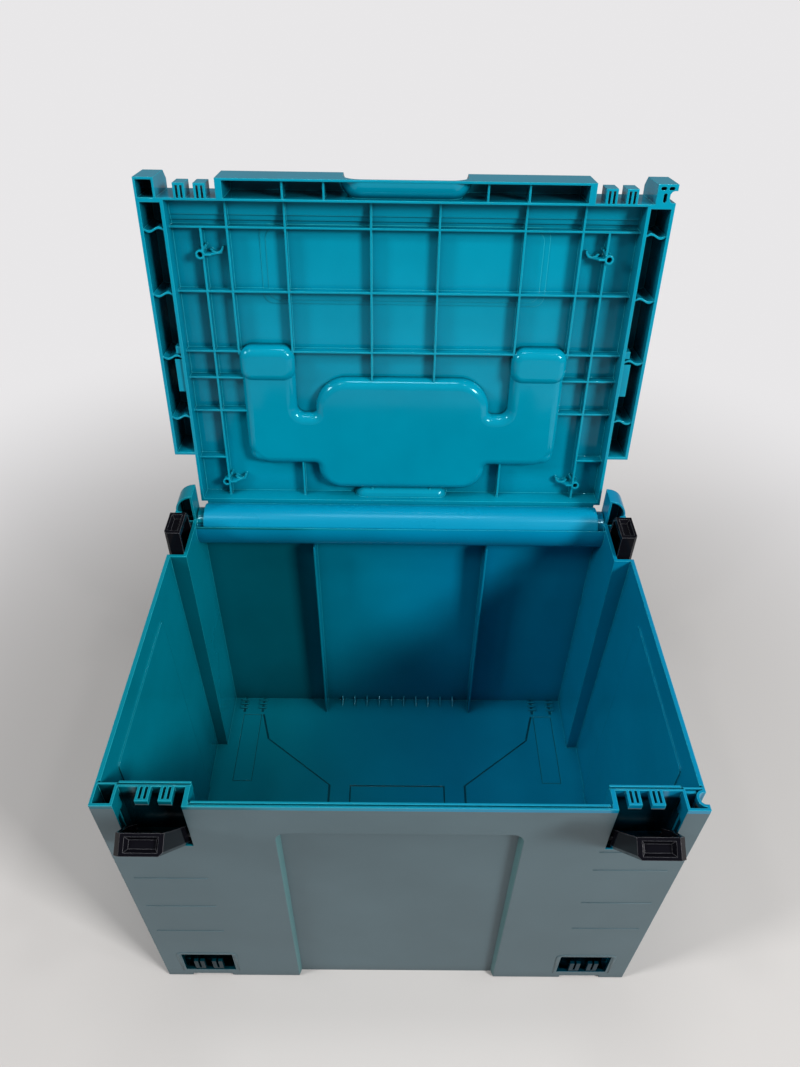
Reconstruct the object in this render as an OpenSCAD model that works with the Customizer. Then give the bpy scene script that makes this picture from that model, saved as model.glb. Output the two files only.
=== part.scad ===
// Stackable hard tool case with a hinged lid, tilting and lifting latches and a fold-down handle.
// The case stands on z = 0, its front faces -Y and the lid is drawn open on its stops.

/* [Case] */
// Overall width of the case
case_w = 396; // [384:1:420]
// Overall depth of the case
case_d = 296; // [288:1:320]
// Height of the lower box up to its rim
box_h = 278; // [250:1:320]
// Height of the closed lid above the rim
lid_h = 37; // [34:1:42]
// Thickness of the outer walls
wall = 3; // [2.4:0.1:3.4]
// Thickness of the box floor
floor_t = 3; // [2.2:0.1:4]
// Inward lean of each side wall between rim and base
side_draft = 3.5; // [0:0.5:5]
// Inward lean of the front and rear walls between rim and base
front_draft = 1.4; // [0:0.2:3]
// Gap between lid edge and box rim when closed
rim_gap = 0.3; // [0.2:0.1:0.6]
// Width of the rim band along the front
rim_w = 4; // [3.6:0.1:5]
// Height of the rim band
rim_band = 9; // [5:1:14]
// Width of the groove that runs round the rim
groove_w = 1.4; // [0.8:0.1:1.6]
// Depth of the groove that runs round the rim
groove_depth = 2; // [1:0.5:4]

/* [Wall panels] */
// Width of the recessed front panel
panel_w = 166; // [120:1:190]
// Height of the top edge of the recessed front panel
panel_top = 245; // [200:1:250]
// Depth of the recessed front panel
panel_depth = 6.5; // [3:0.5:8]
// Radius of the top corners of the front panel
panel_r = 9; // [4:1:16]
// Length of the recessed panel in each side wall
side_panel_l = 130; // [100:1:150]
// Depth of the recessed panel in each side wall
side_panel_depth = 1.2; // [0.8:0.2:3]
// Height of the top edge of the side panels
side_panel_top = 254; // [200:1:260]
// Distance from the case front to the middle of the side panels
side_panel_y = 110; // [90:1:125]
// Radius of the top corners of the side panels
side_panel_r = 4; // [3:1:12]
// Width of the foot notches
notch_w = 42; // [34:1:44]
// Height of the top edge of the foot notches
notch_top = 44; // [34:1:50]
// Height of the sill under the foot notches
notch_sill = 12.5; // [8:0.5:16]
// Height of the teeth that stand on the sill of a foot notch
tooth_h = 16; // [8:1:20]
// Height of the rebate round the base
foot_h = 1.4; // [0.8:0.2:1.6]
// Depth of the rebate round the base
foot_in = 2.4; // [1:0.2:2.6]
// Height of the cut under each foot notch
foot_cut = 5; // [3:0.5:7]

/* [Inside ribs] */
// Distance between the two tall fins of the rear wall
fin_pitch = 157; // [120:1:180]
// Depth of the tall fins
fin_d = 19; // [10:1:22]
// Spacing of the small gussets at the foot of the rear wall
gusset_pitch = 13.6; // [10:0.2:16]
// Height of the small gussets
gusset_h = 7; // [4:0.5:12]
// Length of one short bar across the end of a floor strip
bar_l = 8; // [5:0.5:10]
// Height of these bars
bar_h = 2; // [1:0.5:4]
// Spacing of these bars
bar_pitch = 5; // [4:0.5:6]
// Width of the marked floor field
field_w = 97.4; // [80:1:120]
// Length of the marked floor field
field_l = 163.5; // [140:1:170]
// Width of the marked floor strip behind each side wall
strip_w = 20; // [14:1:24]
// Length of the marked floor strip behind each side wall
strip_l = 83; // [60:1:90]
// Width of the lines in the floor
line_w = 1.6; // [1:0.1:2]
// Depth of the lines in the floor
line_depth = 1.3; // [0.4:0.1:1.4]
// Width of the folded line across the floor
fold_w = 2.4; // [1.6:0.1:3]

/* [Latch pockets] */
// Width of each latch pocket
pocket_w = 44; // [42:0.5:46]
// Depth of each latch pocket
pocket_depth = 14; // [13.6:0.1:15]
// Depth of each pocket below the rim
pocket_drop = 51; // [48:1:54]
// Distance from the case side to a front pocket
pocket_inset = 15; // [14:0.5:18]
// Distance from the case rear to a side pocket
side_pocket_rear = 19; // [18:0.5:21]
// Thickness of the walls beside a pocket
pocket_wall = 2.4; // [2.2:0.1:3]
// Width of one slotted hook ledge
ledge_w = 8.6; // [7:0.1:8.8]
// Distance between the two ledges of a pocket
ledge_pitch = 15; // [13:0.5:15]
// Reach of a ledge from the back of the pocket
ledge_reach = 10.4; // [8:0.2:10.4]
// Height of a ledge under the box rim
ledge_h = 5; // [3:0.5:8]
// Height of the hook posts of the lid
post_h = 15.7; // [12:0.1:15.8]
// Width of a slot in a ledge
ledge_slot = 1.8; // [1:0.1:2.2]

// Thickness of the walls of a front corner box
corner_wall = 1.8; // [1.6:0.1:2.2]
// Depth of the padlock recess in the right front corner
padlock_d = 5.2; // [4:0.2:7]
// Height of the padlock recess in the box
padlock_h = 16; // [10:1:20]

/* [Latches] */
// Length of a latch from its pivot to its tip
latch_len = 70.5; // [70:0.5:74]
// Thickness of a latch
latch_t = 13.2; // [12.8:0.1:13.2]
// Wall thickness of a latch
latch_wall = 2.2; // [1.6:0.1:2.4]
// Width of a latch at its root
latch_root_w = 39; // [38:0.5:40]
// Width of a latch at its tip
latch_tip_w = 26.5; // [24:0.5:30]
// Thickness of the end block of a latch
latch_block = 5; // [4:0.5:6]
// Tilt of an opened latch
latch_open = 33; // [26:1:34]
// Lift that couples a latch to a case above
latch_lift = 30; // [20:1:34]
// Diameter of a latch pin
latch_pin_d = 3; // [2.5:0.1:3.2]
// Radial running clearance of a part on its pin
pin_clear = 0.06; // [0.03:0.01:0.1]
// Clearance of a latch pin in its grooves
slot_clear = 0.3; // [0.2:0.05:0.5]
// Depth of the pin grooves in the pocket walls
slot_depth = 1.4; // [1:0.1:1.6]

/* [Lid] */
// Width of each hollow side rail of the lid
rail_w = 17.5; // [17:0.5:20]
// Depth of the front rail of the lid
front_rail = 15.6; // [15:0.1:17]
// Depth of the rear rail of the lid
rear_rail = 26; // [25:0.5:28]
// Thickness of the lid walls
lid_wall = 2.5; // [2:0.1:3]
// Thickness of the walls of the front rail of the lid
rail_wall = 1.6; // [1.4:0.1:2.4]
// Bevel along the top front edge of the lid
lid_bevel = 7; // [4:0.5:9]
// Depth of the tray in the lid top
tray_depth = 17.5; // [12:0.5:18]
// Thickness of the lid panel
lid_panel_t = 2.5; // [2:0.1:3]
// Height of the stiffening ribs under the panel
rib_h = 8.5; // [5:0.5:10]
// Thickness of the stiffening ribs
rib_t = 1.5; // [1.2:0.1:2.4]
// Angle that the lid opens to
lid_open = 98; // [90:1:102]

/* [Lid ribs] */
// Distance from the lid front to the first cross rib
rib_y1 = 36; // [30:1:44]
// Distance from the lid front to the second cross rib
rib_y2 = 84.7; // [70:0.1:96]
// Distance from the lid front to the third cross rib
rib_y3 = 133.9; // [124:0.1:134]
// Distance from the centre to the outer long ribs
rib_x1 = 155; // [140:1:160]
// Distance from the centre to the second long ribs
rib_x2 = 135; // [125:1:139]
// Distance from the centre to the third long ribs
rib_x3 = 91; // [80:1:100]
// Distance from the centre to the inner long ribs
rib_x4 = 26; // [15:1:35]
// Width of the raised field under the lid panel
pad_w = 224; // [180:1:240]
// Length of the raised field under the lid panel
pad_l = 61; // [40:1:66]
// Height of the raised field under the lid panel
pad_h = 1; // [0.6:0.1:1.6]
// Position of the short ribs in the front rail
rib_x5 = 60.5; // [56:0.5:70]
// Width of the finger recess in the lid front
lift_w = 94; // [70:1:100]
// Radius of the finger recess in the lid front
lift_r = 14.6; // [12:0.1:15]
// Rounding of the edges of the handle well inside the lid
well_round = 8; // [5:0.5:9]

// Width of the low bump in front of the middle of the rear wall
rear_bump_w = 82; // [60:1:100]
// Depth of this bump
rear_bump_d = 9; // [8.5:0.5:10]

/* [Lid hinge] */
// Distance of the hinge axis from the case rear
hinge_back = 8; // [7:0.5:9]
// Distance of the hinge axis below the rim
hinge_drop = 10; // [9:0.5:12]
// Outer radius of the hinge roll
roll_r = 16.5; // [15:0.5:17]
// Thickness of the hinge roll
roll_t = 2.2; // [1.6:0.1:3]
// Gap between the hinge roll and its trough
trough_gap = 0.7; // [0.4:0.1:1]
// Thickness of the cheeks that carry the hinge pins
cheek_w = 5.5; // [4.5:0.5:9]
// Radius of the round cheek boss above the trough
cheek_r = 13; // [9:0.5:15]
// Clearance between the roll and its cheeks
cheek_gap = 0.5; // [0.3:0.1:1]
// Diameter of a hinge pin
hinge_pin_d = 5; // [4:0.5:6]

/* [Handle] */
// Depth of the handle well under the tray
well_depth = 11; // [9:0.5:12]
// Distance from the lid front to the handle pivot
handle_pivot = 144; // [138:1:150]
// Distance from the handle pivot to the middle of the grip
handle_reach = 70; // [66:1:74]
// Width of the handle over its arms
handle_w = 256; // [240:1:258]
// Width of one handle arm
handle_arm_w = 31; // [26:1:34]
// Front-to-back size of the grip
grip_w = 34; // [26:1:38]
// Thickness of the handle
grip_t = 14; // [12:0.5:16]
// Diameter of a handle pin
handle_pin_d = 6; // [5:0.5:7]
// Gap between the handle and its well
handle_gap = 1.2; // [0.8:0.1:2]
// Width of the finger pocket round the grip
finger_w = 146; // [120:1:160]
// Front-to-back size of the finger pocket
finger_d = 103; // [90:1:110]

/* [Hidden] */
$fn = 48;
eps = 0.01;
half_w = case_w / 2;
lid_z = box_h + rim_gap;
top_z = box_h + lid_h;
// Front latch pockets and the columns round them
pocket_z = box_h - pocket_drop;
pocket_x = half_w - pocket_inset - pocket_w / 2;
column_d = pocket_depth + rim_w;
column_x = pocket_x - pocket_w / 2 - pocket_wall;
// Side latch pockets and the columns round them
side_wall_x = half_w - pocket_depth;
side_inner_x = side_wall_x - wall;
side_pocket_y = case_d - side_pocket_rear - pocket_w / 2;
side_column_y = side_pocket_y - pocket_w / 2 - pocket_wall;
tower_y = side_pocket_y + pocket_w / 2 + pocket_wall;
strip_x = side_inner_x - 21.5;
lobe_d = 3;
tower_front = tower_y - 1;
tower_h = 26;
tower_wall = 1.6;
// Latches
pivot_in = pocket_depth / 2;
pivot_z = pocket_z + 2.5;
skin_start = 2;
sill_lean = max(front_draft, side_draft) * pocket_drop / box_h;
root_r = norm([pivot_in - wall - sill_lean, pivot_z - pocket_z]) - 0.4;
post_x = 3;
// Lid hinge
hinge_y = case_d - hinge_back;
hinge_z = box_h - hinge_drop;
trough_r = roll_r + trough_gap;
trough_t = 2.2;
cheek_x = side_inner_x - cheek_w;
roll_len = 2 * (cheek_x - cheek_gap);
// Lid levels
tray_z = top_z - tray_depth;
panel_z = tray_z - lid_panel_t;
rib_z = panel_z - rib_h;
lid_inner_x = half_w - rail_w;
notch_y = side_column_y - 5;
rear_wall_y = case_d - rear_rail;
// Handle and its well
well_z = tray_z - well_depth;
handle_bottom = well_z + handle_gap;
barrel_r = 7.5;
handle_z = handle_bottom + 6;
grip_y = handle_pivot + handle_reach;
well_x = handle_w / 2 + handle_gap;
well_arm = handle_arm_w + 2 * handle_gap;
well_y0 = grip_y - grip_w / 2 - handle_gap;
well_y1 = grip_y + grip_w / 2 + handle_gap;
well_r = 14;
finger_y = grip_y - 4;

// Moves the front edge of the footprint to its place ahead of the centre
module place() { translate([0, -case_d / 2, 0]) children(); }

// Box between two corners
module span(a, b) { translate(a) cube([b[0] - a[0], b[1] - a[1], b[2] - a[2]]); }

// Draws a shape on the left and its mirror image on the right
module both_sides() {
  children();
  mirror([1, 0, 0]) children();
}

// Extrudes a Y-Z outline along X between two stations
module along_x(x0, x1) { translate([x0, 0, 0]) rotate([90, 0, 90]) linear_extrude(x1 - x0) children(); }

// Extrudes an X-Z outline along Y between two stations
module along_y(y0, y1) { translate([0, y1, 0]) rotate([90, 0, 0]) linear_extrude(y1 - y0) children(); }

// Rectangle with round corners
module round_rect(w, d, r) {
  square([w - 2 * r, d], center = true);
  square([w, d - 2 * r], center = true);
  for (x = [-1, 1], y = [-1, 1]) translate([x * (w / 2 - r), y * (d / 2 - r)]) circle(r);
}

// Block whose four walls lean in towards the base
module drafted(inset, z0, z1) {
  lean_x = side_draft * (box_h - z0) / box_h;
  lean_y = front_draft * (box_h - z0) / box_h;
  w = half_w - inset;
  intersection() {
    along_y(0, case_d)
      polygon([[-w + lean_x, z0], [w - lean_x, z0], [w, box_h], [w, z1], [-w, z1], [-w, box_h]]);
    along_x(-half_w, half_w) polygon([[inset + lean_y, z0], [case_d - inset - lean_y, z0],
      [case_d - inset, box_h], [case_d - inset, z1], [inset, z1], [inset, box_h]]);
  }
}

// ---- Lower box ----

// Plan of the main hollow: full width ahead of the side columns, narrower between them
module cavity_plan(extra) {
  translate([-column_x + extra, -1]) square([2 * (column_x - extra), case_d + 2]);
  translate([-side_inner_x + extra, column_d + extra])
    square([2 * (side_inner_x - extra), case_d]);
  translate([-half_w, column_d + extra]) square([case_w, side_column_y - column_d - 2 * extra]);
}

module cavity() {
  intersection() {
    drafted(wall, floor_t, box_h + 1);
    linear_extrude(box_h + 1) cavity_plan(0);
  }
}

// Band that thickens the top of the front wall and of the pocket walls to the width of the rim
module rim_ring() {
  difference() {
    intersection() {
      drafted(0, box_h - rim_band, box_h);
      span([-half_w, 0, 0], [half_w, column_d, box_h]);
    }
    intersection() {
      drafted(rim_w, box_h - rim_band - 1, box_h + 1);
      linear_extrude(box_h + 1) cavity_plan(0.6);
    }
  }
}

// Hollow of one front corner box, of one front column and of one side column
module column_hollows(left) {
  intersection() {
    drafted(wall, floor_t, box_h + 1);
    union() {
      span([-pocket_x - pocket_w / 2, 0, floor_t], [-pocket_x + pocket_w / 2, pocket_depth, box_h + 1]);
      span([-half_w, 0, floor_t], [-pocket_x - pocket_w / 2 - pocket_wall, pocket_depth + 1, pocket_z]);
      span([-half_w, side_pocket_y - pocket_w / 2, floor_t],
        [-side_wall_x, side_pocket_y + pocket_w / 2, box_h + 1]);
      span([-half_w, tower_y, floor_t], [-side_wall_x, case_d, box_h - 9]);
    }
  }
}

// Open box in a front corner
module corner_box() {
  w = corner_wall;
  span([-half_w + w, w, pocket_z - eps], [-pocket_x - pocket_w / 2 - w, pocket_depth + 1.5, box_h + 1]);
}

// Openings of a front pocket, a side pocket and a foot notch in the outer skin
module skin_cuts() {
  span([-pocket_x - pocket_w / 2, -1, pocket_z], [-pocket_x + pocket_w / 2, pocket_depth, box_h + 1]);
  span([-half_w - 1, side_pocket_y - pocket_w / 2, pocket_z],
    [-side_wall_x, side_pocket_y + pocket_w / 2, box_h + 1]);
  span([-pocket_x - 17, -1, notch_sill], [-pocket_x - 17 + notch_w, pocket_depth, notch_top]);
}

// Teeth on the sill of a foot notch, where the latch of a case below grips
module notch_teeth() {
  for (s = [-1, 1]) translate([-pocket_x + post_x + s * ledge_pitch / 2, 0, 0])
    difference() {
      span([-ledge_w / 2, front_draft + 0.5, notch_sill - eps], [ledge_w / 2, ledge_reach - 4, notch_sill + tooth_h]);
      span([-ledge_slot / 2, -1, notch_sill + 3], [ledge_slot / 2, ledge_reach, notch_top]);
    }
}

// Rebate round the base, deeper under the foot notches
module foot_rebate() {
  difference() {
    span([-half_w, -1, -1], [half_w, case_d + 1, foot_h]);
    drafted(foot_in, -2, foot_h + 1);
  }
  both_sides() span([-pocket_x - 13, -1, -1], [-pocket_x + notch_w - 21, wall + foot_in, foot_cut]);
}

// Grooves that guide the pins of a front latch and of a side latch
module pin_grooves() {
  r = latch_pin_d / 2 + slot_clear;
  w = pocket_w / 2 + slot_depth;
  for (z = [pivot_z, pivot_z + latch_lift]) {
    translate([-pocket_x - w, pivot_in, z]) rotate([0, 90, 0]) cylinder(r = r, h = 2 * w);
    translate([-half_w + pivot_in, side_pocket_y - w, z]) rotate([-90, 0, 0]) cylinder(r = r, h = 2 * w);
  }
  span([-pocket_x - w, pivot_in - r, pivot_z], [-pocket_x + w, pivot_in + r, pivot_z + latch_lift]);
  span([-half_w + pivot_in - r, side_pocket_y - w, pivot_z],
    [-half_w + pivot_in + r, side_pocket_y + w, pivot_z + latch_lift]);
}

// Two slotted posts on the back of a front pocket, from one height to another
module hook_posts(z0, z1) {
  for (side = [-1, 1]) translate([-pocket_x + post_x + side * ledge_pitch / 2, pocket_depth, 0])
    difference() {
      span([-ledge_w / 2, -ledge_reach, z0], [ledge_w / 2, eps, z1]);
      for (s = [-1, 1]) translate([s * ledge_w / 5, 0, 0])
        span([-ledge_slot / 2, 1.6 - ledge_reach, z0 - 1], [ledge_slot / 2, 0, z1 + 1]);
    }
}

// Quarter-round tower at a rear corner, open to the front, with a small lobe ahead of it
module rear_tower() {
  intersection() {
    along_y(tower_front, case_d) tower_profile(0);
    span([-half_w, tower_front, box_h - 9], [-side_inner_x, case_d, top_z]);
  }
  along_y(tower_front - lobe_d, tower_front + eps)
    intersection() {
      translate([-half_w, box_h - 4]) circle(r = 15);
      translate([-half_w, box_h - 6]) square([5, 22]);
    }
}

// Straight outer edge that rounds over to the inner edge of the tower
module tower_profile(inset) {
  r = half_w - side_wall_x + 2 - inset;
  translate([-half_w + inset, box_h - 12]) square([r, 12 + tower_h - r]);
  intersection() {
    translate([-side_wall_x + 2, box_h + tower_h - r - inset]) circle(r = r);
    translate([-half_w, box_h]) square([half_w - side_wall_x + 2, tower_h]);
  }
}

module tower_hollow() {
  intersection() {
    along_y(tower_front - 1, case_d - tower_wall) tower_profile(tower_wall);
    span([-half_w, tower_front - 1, box_h - 9], [-side_wall_x, case_d, box_h + tower_h]);
  }
}

// Curved trough that the hinge roll turns in, with its end cheeks
module hinge_trough() {
  along_x(-side_inner_x - eps, side_inner_x + eps) translate([hinge_y, hinge_z]) intersection() {
    difference() {
      circle(r = trough_r + trough_t, $fn = 96);
      circle(r = trough_r, $fn = 96);
    }
    polygon([[0, 0], 60 * [cos(155), sin(155)], [-60, -60], [hinge_back, -60], [hinge_back, 0]]);
  }
  both_sides() along_x(-side_inner_x - eps, -cheek_x) translate([hinge_y, hinge_z]) intersection() {
    union() {
      circle(r = cheek_r);
      intersection() {
        circle(r = trough_r + eps, $fn = 96);
        translate([-60, -60]) square([120, 60]);
      }
    }
    translate([-60, -60]) square([60 + hinge_back, 120]);
  }
}

// Upright rib that stands on the floor against the rear wall
module rear_rib(x, t, depth, low, high) {
  back = case_d - wall;
  along_x(x - t / 2, x + t / 2) polygon([[back - depth, floor_t - eps], [back + eps, floor_t - eps],
    [back + eps, high], [back - depth, low]]);
}

// Fins, gussets and combs at the rear wall
module inner_ribs() {
  fin_top = hinge_z - trough_r - trough_t / 2;
  for (x = [-1, 1]) rear_rib(x * fin_pitch / 2, rib_t, fin_d, fin_top, fin_top);
  for (i = [-4.5:4.5]) rear_rib(i * gusset_pitch, rib_t, gusset_h + 4, floor_t + 1, floor_t + gusset_h);
  for (x = [-1, 1], c = [-1, 1], i = [1:3])
    translate([x * (strip_x + c * strip_w / 2), case_d - wall - i * bar_pitch, 0])
    span([-bar_l / 2, -0.7, floor_t - line_depth - eps], [bar_l / 2, 0.7, floor_t + bar_h]);
}

// Frame of a rectangle in the floor, drawn as a line
module line_frame(x, y, w, l, t) {
  difference() {
    translate([x, y]) square([w, l]);
    translate([x + t, y + t]) square([w - 2 * t, l - 2 * t]);
  }
}

// Shallow lines in the floor: a field, two strips and the folded line between them
module floor_lines() {
  field_y = column_d + 2;
  strip_y = side_column_y - strip_l / 2 - 2;
  bend = [field_w * 0.7, field_y + field_l];
  knee = [strip_x - strip_w / 2 - 12, side_column_y + 8];
  foot = [strip_x - strip_w / 2 - 3, strip_y + strip_l];
  translate([0, 0, floor_t - line_depth]) linear_extrude(2) {
    line_frame(-field_w / 2, field_y, field_w, field_l, line_w);
    for (s = [-1, 1]) scale([s, 1])
      polygon([[bend[0], field_y], [bend[0] + fold_w, field_y], bend + [fold_w, 0], knee + [fold_w, 0],
        foot + [fold_w, 0], foot, knee, bend]);
  }
  translate([0, 0, floor_t - line_depth / 2]) linear_extrude(2) for (s = [-1, 1]) scale([s, 1]) {
    line_frame(strip_x - strip_w / 2, strip_y, strip_w, strip_l, line_w / 2);
    for (c = [-1, 1]) translate([strip_x + c * strip_w / 2, case_d - wall - 4 * bar_pitch])
      translate([-line_w, 0]) square([2 * line_w, 4 * bar_pitch]);
  }
}

// Recessed front panel, open at the base
module front_recess(grow) {
  w = panel_w + 2 * grow;
  along_y(-1, panel_depth + grow) {
    translate([-w / 2, -1]) square([w, panel_top + grow - panel_r + 1]);
    translate([0, panel_top + grow - panel_r]) round_rect(w, 2 * panel_r, panel_r - eps);
  }
}

// Outline of the recessed panel in a side wall, open at the base
module side_panel(grow) {
  l = side_panel_l + 2 * grow;
  along_x(-half_w - 1, -half_w + rail_w) translate([side_panel_y, 0]) {
    translate([-l / 2, -1]) square([l, side_panel_top + grow - side_panel_r + 1]);
    translate([0, side_panel_top + grow - side_panel_r])
      round_rect(l, 2 * side_panel_r, side_panel_r - eps);
  }
}

// Narrowed outer side of the right front corner, where a padlock passes
module padlock_notch(z0, z1) {
  y0 = 4.5;
  y1 = pocket_depth - 1;
  translate([half_w, (y0 + y1) / 2, z0]) linear_extrude(z1 - z0) round_rect(2 * padlock_d, y1 - y0, 3.6);
}

// Inner wall and shelf behind the narrowed side
module padlock_wall() {
  x = half_w - padlock_d - corner_wall;
  y0 = 4.5 - corner_wall;
  y1 = pocket_depth - 1 + corner_wall;
  intersection() {
    translate([half_w, (y0 + y1) / 2, box_h - padlock_h - corner_wall])
      linear_extrude(padlock_h + corner_wall)
      round_rect(2 * (padlock_d + corner_wall), y1 - y0, 3.6 + corner_wall);
    drafted(0.2, 0, box_h);
  }
  span([pocket_x + pocket_w / 2, y1 - corner_wall, box_h - padlock_h], [x + 1, y1, box_h - 1]);
}

module body_shell() {
  color([0.0, 0.47, 0.53]) place() difference() {
    union() {
      difference() {
        drafted(0, 0, box_h);
        cavity();
        both_sides() column_hollows();
        span([-cheek_x, hinge_y, hinge_z - sqrt(trough_r * trough_r - hinge_back * hinge_back)],
          [cheek_x, case_d + 1, box_h + 1]);
      }
      intersection() {
        drafted(0, 0, box_h);
        union() {
          front_recess(wall);
          both_sides() difference() {
            side_panel(wall);
            drafted(wall + side_panel_depth, -1, box_h);
          }
        }
      }
      rim_ring();
      both_sides() hook_posts(box_h - ledge_h, box_h);
      both_sides() rear_tower();
      hinge_trough();
      inner_ribs();
    }
    difference() {
      both_sides() corner_box();
      padlock_wall();
    }
    both_sides() difference() {
      skin_cuts();
      notch_teeth();
      hook_posts(box_h - ledge_h, box_h);
    }
    both_sides() pin_grooves();
    both_sides() tower_hollow();
    front_recess(0);
    both_sides() difference() {
      side_panel(0);
      drafted(side_panel_depth, -1, box_h);
    }
    along_x(-cheek_x, cheek_x) translate([hinge_y, hinge_z]) circle(r = trough_r, $fn = 96);
    translate([-side_wall_x - eps, hinge_y, hinge_z]) rotate([0, 90, 0])
      cylinder(d = hinge_pin_d, h = 2 * side_wall_x + 2 * eps);
    rim_grooves();
    padlock_notch(box_h - padlock_h, box_h + 1);
    foot_rebate();
    difference() {
      floor_lines();
      inner_ribs();
    }
  }
}

// Groove in the top of the rim, along the front, round each pocket and behind each corner box
module rim_grooves() {
  g = groove_w;
  o = 1.2;
  z0 = box_h - groove_depth;
  span([-column_x + o, o, z0], [column_x - o, o + g, box_h + 1]);
  both_sides() {
    span([-column_x + o, o, z0], [-column_x + o + g, pocket_depth + o + g, box_h + 1]);
    span([-side_wall_x, pocket_depth + o, z0], [-column_x + o + g, pocket_depth + o + g, box_h + 1]);
    span([-half_w + o, pocket_depth + 1.5 + o, z0], [-side_wall_x + g, pocket_depth + 1.5 + o + g, box_h + 1]);
  }
}

// ---- Lid, drawn closed ----

// Outline of the lid: full width ahead of the notches, then the inner walls, then the hinge roll
module lid_plan() {
  translate([-half_w, 0]) square([case_w, notch_y]);
  translate([-lid_inner_x, 0]) square([2 * lid_inner_x, rear_wall_y + lid_wall]);
  translate([-roll_len / 2, rear_wall_y - 2]) square([roll_len, rear_rail + 2]);
}

// Wedge that takes the top front edge off the lid
module front_bevel(c) {
  along_x(-half_w - 1, half_w + 1) polygon([[-1, top_z - c - 1], [c + 1, top_z + 1], [-1, top_z + 1]]);
}

// Tray that is open at the top, and the hollows that are open below
module lid_hollows() {
  w = lid_wall;
  t = rail_wall;
  span([-lid_inner_x + w, front_rail, tray_z], [lid_inner_x - w, rear_wall_y, top_z + 1]);
  span([-lid_inner_x + w, front_rail, lid_z - 1], [lid_inner_x - w, rear_wall_y, panel_z]);
  difference() {
    span([-column_x + w, t, lid_z - 1], [column_x - w, front_rail - t, top_z - w]);
    front_bevel(lid_bevel + w);
  }
  span([-roll_len / 2 + w, rear_wall_y + w, lid_z - 1], [roll_len / 2 - w, case_d - roll_t, top_z - w]);
  both_sides() {
    span([-half_w + w, front_rail + t, lid_z - 1], [-lid_inner_x, notch_y - w, top_z - w]);
    span([-pocket_x - pocket_w / 2, -1, lid_z - 1], [-pocket_x + pocket_w / 2, pocket_depth, top_z + 1]);
  }
  difference() {
    span([-half_w + t, t, lid_z - 1], [-pocket_x - pocket_w / 2 - t, front_rail - t, top_z - w]);
    front_bevel(lid_bevel + w);
  }
}

// Thin partition of a side rail that dips in a wave towards the outer wall
module rail_partition(y) {
  x0 = -half_w + lid_wall - eps;
  x1 = -lid_inner_x + eps;
  wave = [for (i = [0:8]) [x0 + (x1 - x0) * i / 8, 1.5 * sin(i * 45)]];
  translate([0, y, lid_z + 1]) linear_extrude(lid_h - 2)
    polygon(concat(wave, [for (i = [8:-1:0]) wave[i] + [0, rail_wall]]));
}

// Rib along X or along Y under the lid panel
module rib_x(y, x0, x1, z) { span([x0, y - rib_t / 2, z], [x1, y + rib_t / 2, panel_z + 1]); }
module rib_y(x, y0, y1, z) { span([x - rib_t / 2, y0, z], [x + rib_t / 2, y1, panel_z + 1]); }

// Tube with a hooked gusset and a small one that stiffens a corner of the panel
module boss_tube(x, y) {
  translate([x, y, rib_z - 2]) difference() {
    cylinder(d = 7, h = panel_z - rib_z + 3);
    translate([0, 0, -1]) cylinder(d = 4.2, h = panel_z - rib_z + 2);
  }
  translate([x, y, 0]) {
    intersection() {
      span([2.6, -rib_t / 2, rib_z - 2], [16, rib_t / 2, panel_z + 1]);
      translate([20, -5, rib_z - 7]) rotate([-90, 0, 0]) difference() {
        translate([-21, -30, 0]) cube([21, 30, 10]);
        cylinder(r = 13, h = 10);
      }
    }
    translate([12, -5, rib_z + 4]) linear_extrude(panel_z - rib_z - 3) difference() {
      circle(r = 5.6);
      circle(r = 5.6 - rib_t);
      translate([-8, -8]) square([16, 8]);
      translate([-8, -1]) square([8, 3]);
    }
    rotate([0, 0, -55]) span([2.6, -0.7, rib_z + 2], [8, 0.7, panel_z + 1]);
  }
}

module lid_ribs() {
  near = front_rail - eps;
  far = rear_wall_y + eps;
  side = lid_inner_x - lid_wall + eps;
  arm = well_x + 2;
  boss_y = [rib_y1 + 20, far - 14];
  for (y = [rib_y1, rib_y2, rib_y3]) rib_x(y, -side, side, rib_z);
  both_sides() {
    for (y = [rib_y3 + 23, rib_y3 + 53]) rib_x(y, -side, -arm, rib_z);
    rib_x(far - 38, -side, -rib_x1, rib_z);
    rib_y(-rib_x1, rib_y1, far, rib_z);
    rib_y(-rib_x2, near, handle_pivot - barrel_r, rib_z);
    rib_y(-rib_x3, near, handle_pivot - barrel_r, rib_z);
    rib_y(-rib_x4, near, finger_y - finger_d / 2, rib_z);
    rib_y(-rib_x3 + 3.5, well_y1, far, rib_z);
    rib_y(-rib_x4, finger_y + finger_d / 2, far, rib_z);
    for (y = boss_y) boss_tube(-rib_x1 - 2, y);
    for (x = [rib_x3, rib_x5]) rib_y(-x, rail_wall - eps, near, lid_z + 3);
  }
  // Steps behind the front rail and the raised field of the panel
  span([-side, near, panel_z - 3], [side, rib_y1 - 8, panel_z + 1]);
  span([-side, near, panel_z - 1.5], [side, rib_y1 - 4, panel_z + 1]);
  for (k = [0, 1])
    translate([0, rib_y1 + pad_l / 2 - 1, panel_z - pad_h * (k + 1) / 2])
      linear_extrude(pad_h + 1) round_rect(pad_w - 9 * k, pad_l - 6 * k, 8);
}

// Block with widely rounded lower edges, as the handle well stands out under the panel
module drafted_bulge(w, d, r, z0) {
  f = well_round;
  hull() {
    translate([0, 0, panel_z + eps])
      linear_extrude(lid_panel_t - 2 * eps) round_rect(w + 2, d + 2, r + 1, $fn = 24);
    for (a = [0:22.5:90]) translate([0, 0, z0 + f * (1 - sin(a))]) linear_extrude(eps)
      round_rect(w - 2 * f * (1 - cos(a)), d - 2 * f * (1 - cos(a)), max(r - f * (1 - cos(a)), 1), $fn = 24);
  }
}

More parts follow.
